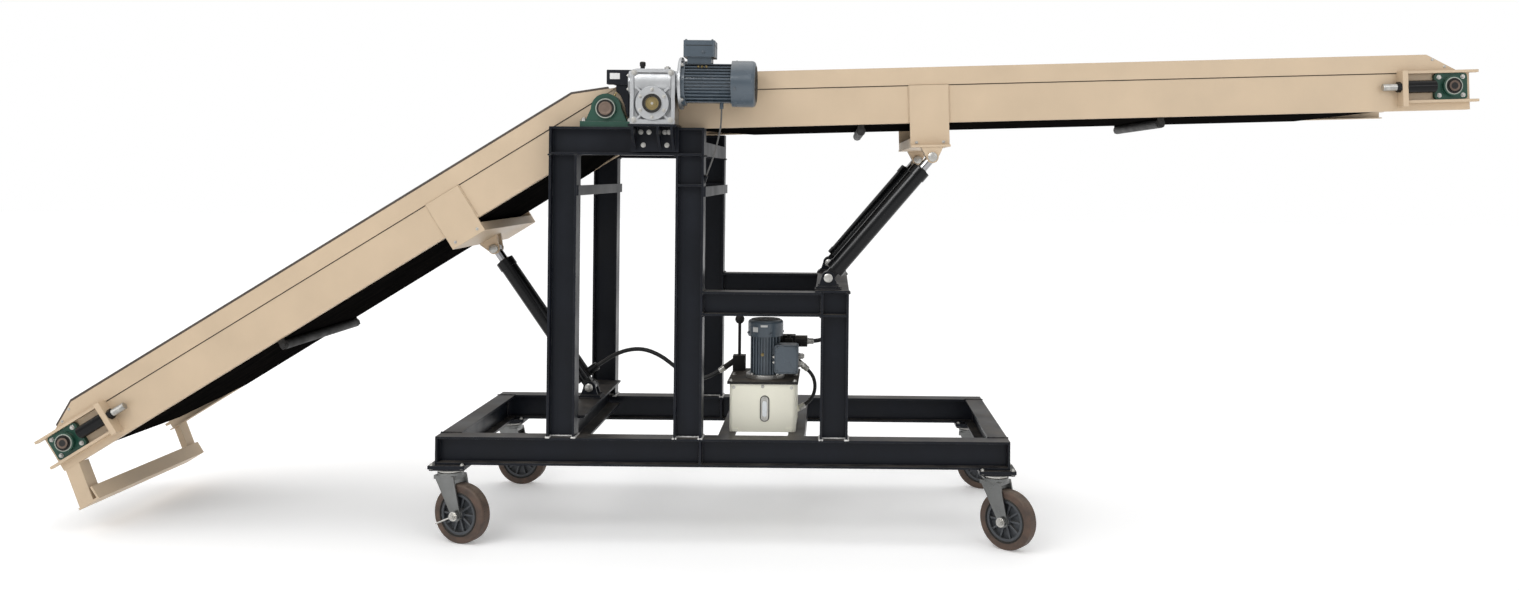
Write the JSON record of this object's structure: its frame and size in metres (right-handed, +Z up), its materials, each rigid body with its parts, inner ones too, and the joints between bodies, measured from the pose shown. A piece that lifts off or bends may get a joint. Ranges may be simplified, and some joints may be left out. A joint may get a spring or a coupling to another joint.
{
  "type": "folding loading conveyor",
  "caption": "Mobile loading conveyor: belt booms hinged on a black wheeled tower frame, a sloping infeed and a near-level discharge, raised by hydraulic cylinders.",
  "frame": {"origin": "on the floor under the middle of the outside box", "axes": "+X along the machine towards the discharge boom, +Y across it away from the drive side, +Z up"},
  "size_m": [5.203, 1.002, 1.794],
  "materials": {
    "bearing_green": "green bearing paint",
    "bed_steel": "sheet steel",
    "belt_rubber": "belt rubber",
    "boom_sand": "sand paint",
    "cable_grey": "cable sheath",
    "cylinder_black": "gloss black paint",
    "fork_grey": "dark grey paint",
    "frame_black": "black frame paint",
    "gearbox_aluminium": "cast aluminium",
    "hose_black": "hose rubber",
    "hub_grey": "grey cast hub",
    "lid_dark": "dark paint",
    "motor_grey": "blue-grey motor paint",
    "rod_chrome": "plated rod",
    "screw_steel": "blackened steel",
    "shaft_steel": "turned steel",
    "tank_cream": "cream paint",
    "tyre_brown": "brown rubber"
  },
  "bodies": {
    "chassis": {"base_rails": "frame_black", "base_end_beams": "frame_black", "tower_posts": "frame_black", "tower_top_beams": "frame_black", "tower_ties": "frame_black", "shelf_posts": "frame_black", "shelf_beams": "frame_black", "lift_cross_beams": "frame_black", "shelf_cap_plate": "frame_black", "pillow_blocks": "bearing_green", "head_drums": "shaft_steel", "gearbox": "gearbox_aluminium", "gearbox_seat": "frame_black", "drive_motor": "motor_grey", "drive_motor_fan_cover": "motor_grey", "drive_motor_terminal_box": "motor_grey", "limit_switch": "frame_black", "power_unit_tank": "tank_cream", "power_unit_lid": "lid_dark", "pump_motor": "motor_grey", "pump_terminal_box": "motor_grey", "power_unit_valves": "lid_dark", "power_unit_bearers": "frame_black", "lift_brackets": "frame_black", "caster_plates": "frame_black", "hose_lift": "hose_black", "hose_shelf": "hose_black", "hose_tank": "hose_black", "cable_motor": "cable_grey"},
    "infeed_boom": {"infeed_side_panels": "boom_sand", "infeed_slider_bed": "bed_steel", "infeed_belt": "belt_rubber", "infeed_pulleys": "shaft_steel", "infeed_tail_bearings": "bearing_green", "infeed_tension_screws": "screw_steel", "infeed_saddle": "boom_sand", "infeed_foot": "boom_sand"},
    "discharge_boom": {"discharge_side_panels": "boom_sand", "discharge_slider_bed": "bed_steel", "discharge_belt": "belt_rubber", "discharge_pulleys": "shaft_steel", "discharge_tail_bearings": "bearing_green", "discharge_tension_screws": "screw_steel", "discharge_saddle": "boom_sand"},
    "infeed_barrel": {"infeed_cylinder_barrel": "cylinder_black"},
    "infeed_rod": {"infeed_cylinder_rod": "rod_chrome"},
    "discharge_barrels": {"discharge_cylinder_barrels": "cylinder_black"},
    "discharge_rods": {"discharge_cylinder_rods": "rod_chrome"},
    "caster_front_left": {"fork_front_left": "fork_grey"},
    "wheel_front_left": {"tyre_front_left": "tyre_brown", "hub_front_left": "hub_grey"},
    "caster_front_right": {"fork_front_right": "fork_grey"},
    "wheel_front_right": {"tyre_front_right": "tyre_brown", "hub_front_right": "hub_grey"},
    "caster_rear_left": {"fork_rear_left": "fork_grey"},
    "wheel_rear_left": {"tyre_rear_left": "tyre_brown", "hub_rear_left": "hub_grey"},
    "caster_rear_right": {"fork_rear_right": "fork_grey"},
    "wheel_rear_right": {"tyre_rear_right": "tyre_brown", "hub_rear_right": "hub_grey"}
  },
  "joints": [
    {"name": "infeed_boom_hinge", "type": "hinge", "parent": "chassis", "child": "infeed_boom", "pos_m": [-0.54269, 0.046, 1.556], "axis": [0, 1, 0], "range_deg": [-2, 30]},
    {"name": "infeed_barrel_hinge", "type": "hinge", "parent": "chassis", "child": "infeed_barrel", "pos_m": [-0.67169, 0.046, 0.487], "axis": [0, 1, 0], "range_deg": [-0.14, 1.41]},
    {"name": "infeed_rod_slide", "type": "slide", "parent": "infeed_barrel", "child": "infeed_rod", "axis": [-0.574, 0, 0.8188], "range_m": [-0.02578, 0.37964]},
    {"name": "discharge_boom_hinge", "type": "hinge", "parent": "chassis", "child": "discharge_boom", "pos_m": [-0.36269, 0.046, 1.57], "axis": [0, -1, 0], "range_deg": [-2, 22]},
    {"name": "discharge_barrel_hinge", "type": "hinge", "parent": "chassis", "child": "discharge_barrels", "pos_m": [0.25831, 0.046, 0.956], "axis": [0, -1, 0], "range_deg": [-1.53, 16.38]},
    {"name": "discharge_rod_slide", "type": "slide", "parent": "discharge_barrels", "child": "discharge_rods", "axis": [0.6456, 0, 0.7637], "range_m": [-0.0301, 0.3261]},
    {"name": "swivel_front_left", "type": "hinge", "parent": "chassis", "child": "caster_front_left", "pos_m": [-1.09069, -0.354, 0.262], "axis": [0, 0, 1], "continuous": true},
    {"name": "spin_front_left", "type": "hinge", "parent": "caster_front_left", "child": "wheel_front_left", "pos_m": [-1.04215, -0.37263, 0.105], "axis": [0.3584, 0.9336, 0], "continuous": true},
    {"name": "swivel_front_right", "type": "hinge", "parent": "chassis", "child": "caster_front_right", "pos_m": [0.86731, -0.354, 0.262], "axis": [0, 0, 1], "continuous": true},
    {"name": "spin_front_right", "type": "hinge", "parent": "caster_front_right", "child": "wheel_front_right", "pos_m": [0.90714, -0.38743, 0.105], "axis": [0.6428, 0.766, 0], "continuous": true},
    {"name": "swivel_rear_left", "type": "hinge", "parent": "chassis", "child": "caster_rear_left", "pos_m": [-1.09069, 0.446, 0.262], "axis": [0, 0, 1], "continuous": true},
    {"name": "spin_rear_left", "type": "hinge", "parent": "caster_rear_left", "child": "wheel_rear_left", "pos_m": [-1.0392, 0.43876, 0.105], "axis": [0.1392, 0.9903, 0], "continuous": true},
    {"name": "swivel_rear_right", "type": "hinge", "parent": "chassis", "child": "caster_rear_right", "pos_m": [0.86731, 0.446, 0.262], "axis": [0, 0, 1], "continuous": true},
    {"name": "spin_rear_right", "type": "hinge", "parent": "caster_rear_right", "child": "wheel_rear_right", "pos_m": [0.91852, 0.43697, 0.105], "axis": [0.1736, 0.9848, 0], "continuous": true}
  ],
  "couplings": [
    {"joint": "infeed_barrel_hinge", "follows": "infeed_boom_hinge", "ratio": 0.045437},
    {"joint": "infeed_rod_slide", "follows": "infeed_boom_hinge", "m_per_rad": 0.72411},
    {"joint": "discharge_barrel_hinge", "follows": "discharge_boom_hinge", "ratio": 0.74241},
    {"joint": "discharge_rod_slide", "follows": "discharge_boom_hinge", "m_per_rad": 0.84797}
  ]
}
